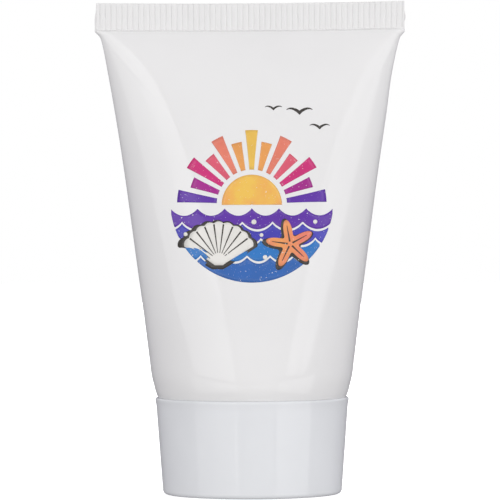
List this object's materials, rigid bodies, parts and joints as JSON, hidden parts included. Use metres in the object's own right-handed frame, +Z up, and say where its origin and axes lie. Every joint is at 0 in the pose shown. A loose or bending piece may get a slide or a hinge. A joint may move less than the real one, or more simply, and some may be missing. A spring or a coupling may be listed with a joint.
{
  "type": "cosmetic squeeze tube",
  "caption": "white squeeze tube for sunscreen, flat ribbed crimp at one end, standing on a wide tapered screw cap",
  "frame": {"origin": "on the tube's axis, in the plane of the cap's standing ring", "axes": "+Z up along the tube's axis from the cap to the crimp, X along the crimp, -Y towards the viewer"},
  "size_m": [0.0628, 0.0394, 0.0992],
  "materials": {
    "tube_sleeve": "gloss",
    "tube_head": "satin",
    "orifice_seal": "satin",
    "cap_liner": "matte",
    "screw_cap": "gloss",
    "sunscreen_fill": "satin"
  },
  "bodies": {
    "cap": {"screw_cap": "screw_cap", "cap_liner": "cap_liner"},
    "seal": {"orifice_seal": "orifice_seal"},
    "tube": {"tube_sleeve": "tube_sleeve", "tube_head": "tube_head", "sunscreen_fill": "sunscreen_fill"}
  },
  "joints": [
    {"name": "tube_lift", "type": "slide", "parent": "cap", "child": "seal", "axis": [0, 0, 1], "range_m": [0, 0.009]},
    {"name": "tube_turn", "type": "hinge", "parent": "seal", "child": "tube", "pos_m": [0, 0, 0.0037], "axis": [0, 0, 1], "range_deg": [0, 1080]}
  ],
  "couplings": [
    {"joint": "tube_lift", "follows": "tube_turn", "m_per_rad": 0.00047746}
  ]
}
